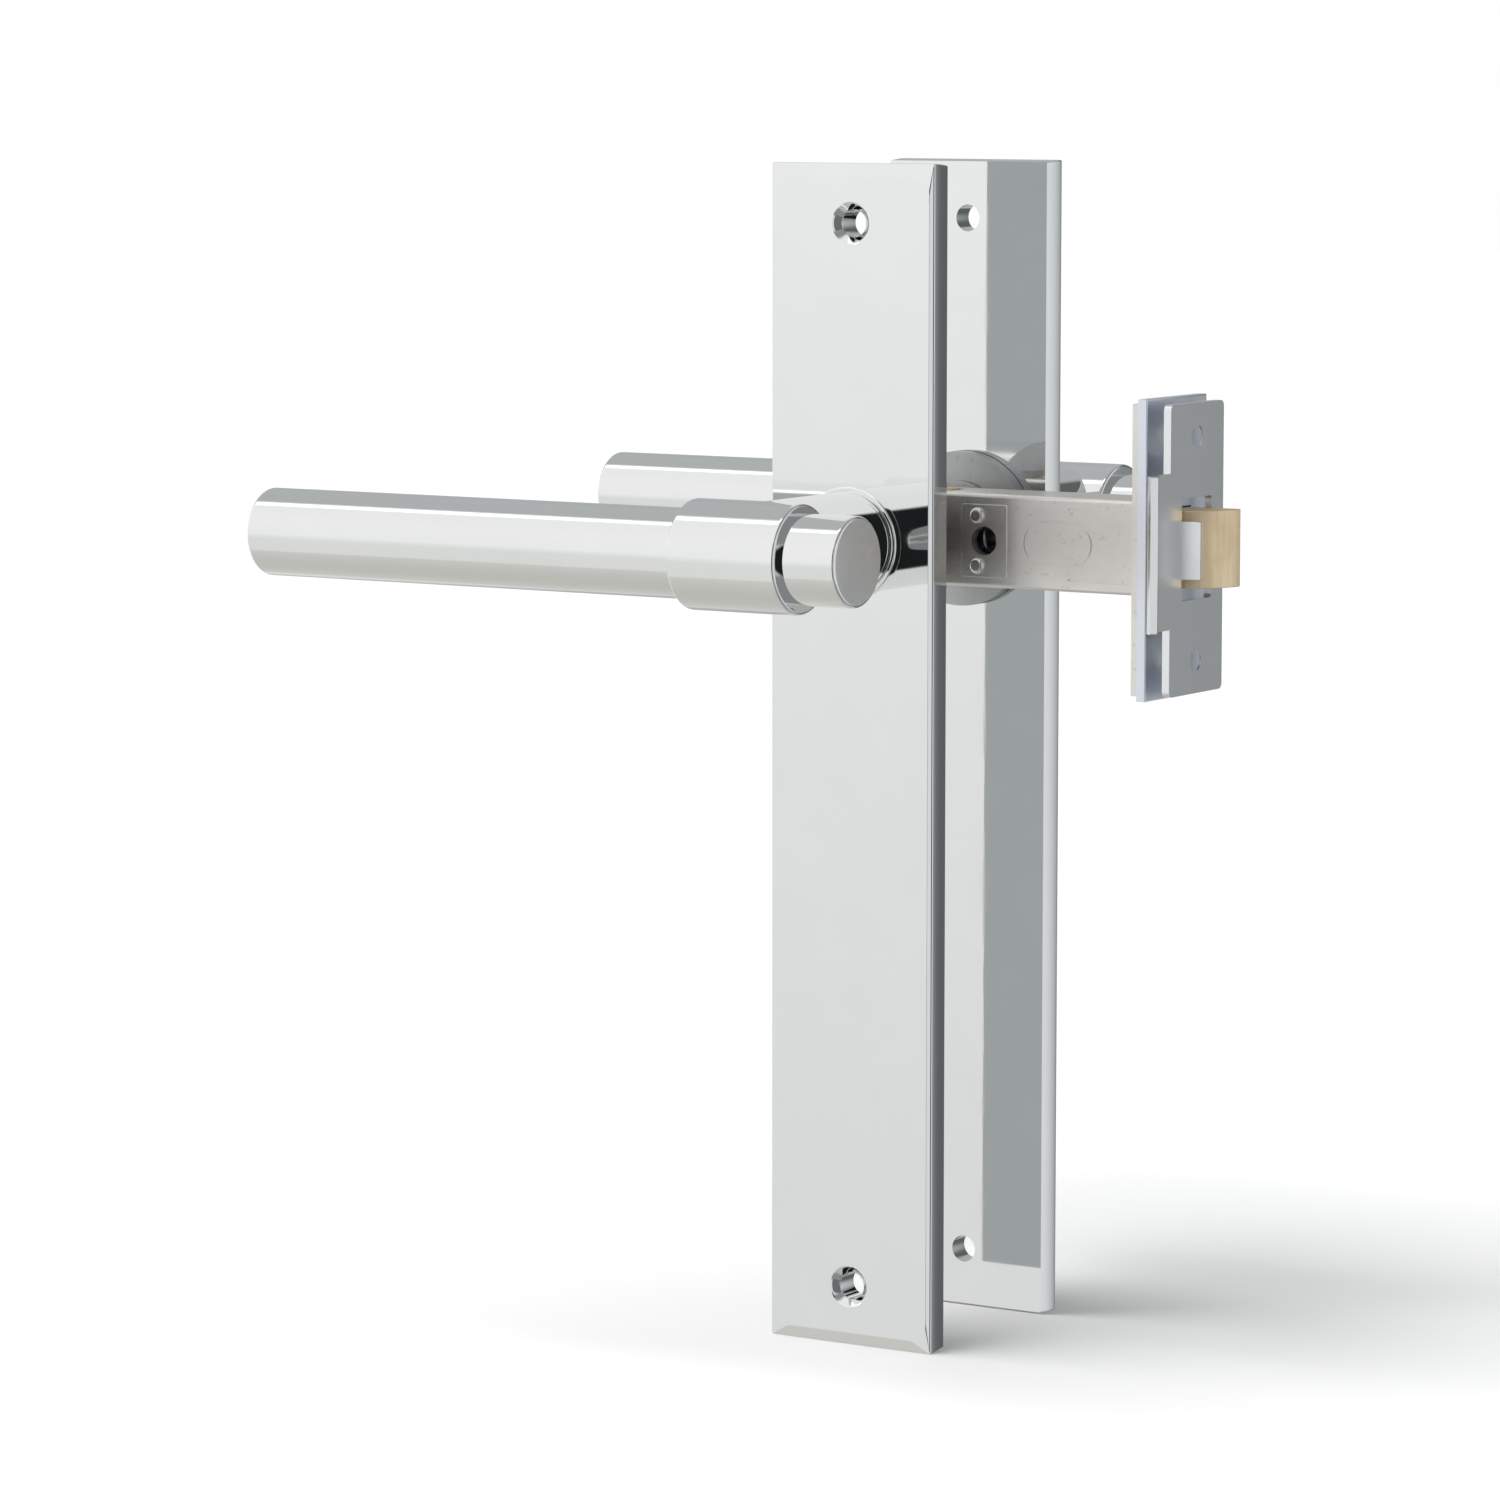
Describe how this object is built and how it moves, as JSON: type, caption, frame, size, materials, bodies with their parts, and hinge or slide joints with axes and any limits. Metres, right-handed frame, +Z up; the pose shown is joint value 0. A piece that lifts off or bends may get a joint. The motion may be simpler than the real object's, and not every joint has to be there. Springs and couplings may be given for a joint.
{
  "type": "door lever handle",
  "caption": "Pair of sprung round-bar lever handles on long rectangular plates, with square spindle, tubular latch and strike, as fitted to a door.",
  "frame": {"origin": "on the spindle axis at mid thickness of the door", "axes": "+Z up along the plates, +X towards the door's latch edge, -Y out of the front handle's side"},
  "size_m": [0.1874, 0.151, 0.24],
  "materials": {
    "plate_chrome": "polished chrome plate",
    "lever_chrome": "polished chrome plate",
    "strike_chrome": "polished chrome plate",
    "faceplate_chrome": "bright chrome plate, slightly blue",
    "case_nickel": "satin nickel-plated sheet steel",
    "rivet_nickel": "bright nickel-plated steel",
    "hub_brass": "machined brass",
    "bolt_brass": "satin drawn brass",
    "pressed_steel": "zinc-plated pressed steel",
    "zinc_steel": "bright zinc plate",
    "spring_steel": "drawn spring wire",
    "black_steel": "black oxide",
    "bush_nylon": "natural nylon"
  },
  "bodies": {
    "door_set": {"front_backplate": "plate_chrome", "front_collar_ring": "plate_chrome", "front_neck_bush": "bush_nylon", "front_cassette_housing": "pressed_steel", "front_cassette_cover": "pressed_steel", "front_cassette_screws": "zinc_steel", "back_backplate": "plate_chrome", "back_collar_ring": "plate_chrome", "back_neck_bush": "bush_nylon", "back_cassette_housing": "pressed_steel", "back_cassette_cover": "pressed_steel", "back_cassette_screws": "zinc_steel", "latch_case": "case_nickel", "case_cover": "case_nickel", "latch_forend": "case_nickel", "pad_rivets": "rivet_nickel", "rear_rivet": "rivet_nickel", "spring_bracket": "pressed_steel", "guide_rod": "zinc_steel", "faceplate": "faceplate_chrome", "strike": "strike_chrome"},
    "lever_set": {"front_lever_neck": "lever_chrome", "front_lever_sleeve": "lever_chrome", "front_lever_bar": "lever_chrome", "front_neck_screw": "zinc_steel", "front_grub_screw": "black_steel", "front_cassette_driver": "pressed_steel", "front_thrust_washer": "zinc_steel", "front_circlip": "black_steel", "front_cassette_spring": "spring_steel", "back_lever_neck": "lever_chrome", "back_lever_sleeve": "lever_chrome", "back_lever_bar": "lever_chrome", "back_neck_screw": "zinc_steel", "back_grub_screw": "black_steel", "back_cassette_driver": "pressed_steel", "back_thrust_washer": "zinc_steel", "back_circlip": "black_steel", "back_cassette_spring": "spring_steel", "latch_hub": "hub_brass", "spindle": "zinc_steel"},
    "bolt_set": {"latch_bolt": "bolt_brass", "latch_carriage": "pressed_steel", "bolt_pin": "zinc_steel", "bolt_spring": "spring_steel"}
  },
  "joints": [
    {"name": "lever_turn", "type": "hinge", "parent": "door_set", "child": "lever_set", "pos_m": [0, 0, 0], "axis": [0, -1, 0], "range_deg": [0, 60], "stiffness_Nm_per_rad": 1.2, "springref_deg": -40.11, "deforming": ["front_cassette_spring", "back_cassette_spring"]},
    {"name": "bolt_slide", "type": "slide", "parent": "door_set", "child": "bolt_set", "axis": [-1, 0, 0], "range_m": [0, 0.01091], "deforming": ["bolt_spring"]}
  ],
  "couplings": [
    {"joint": "bolt_slide", "follows": "lever_turn", "m_per_rad": 0.010399}
  ]
}
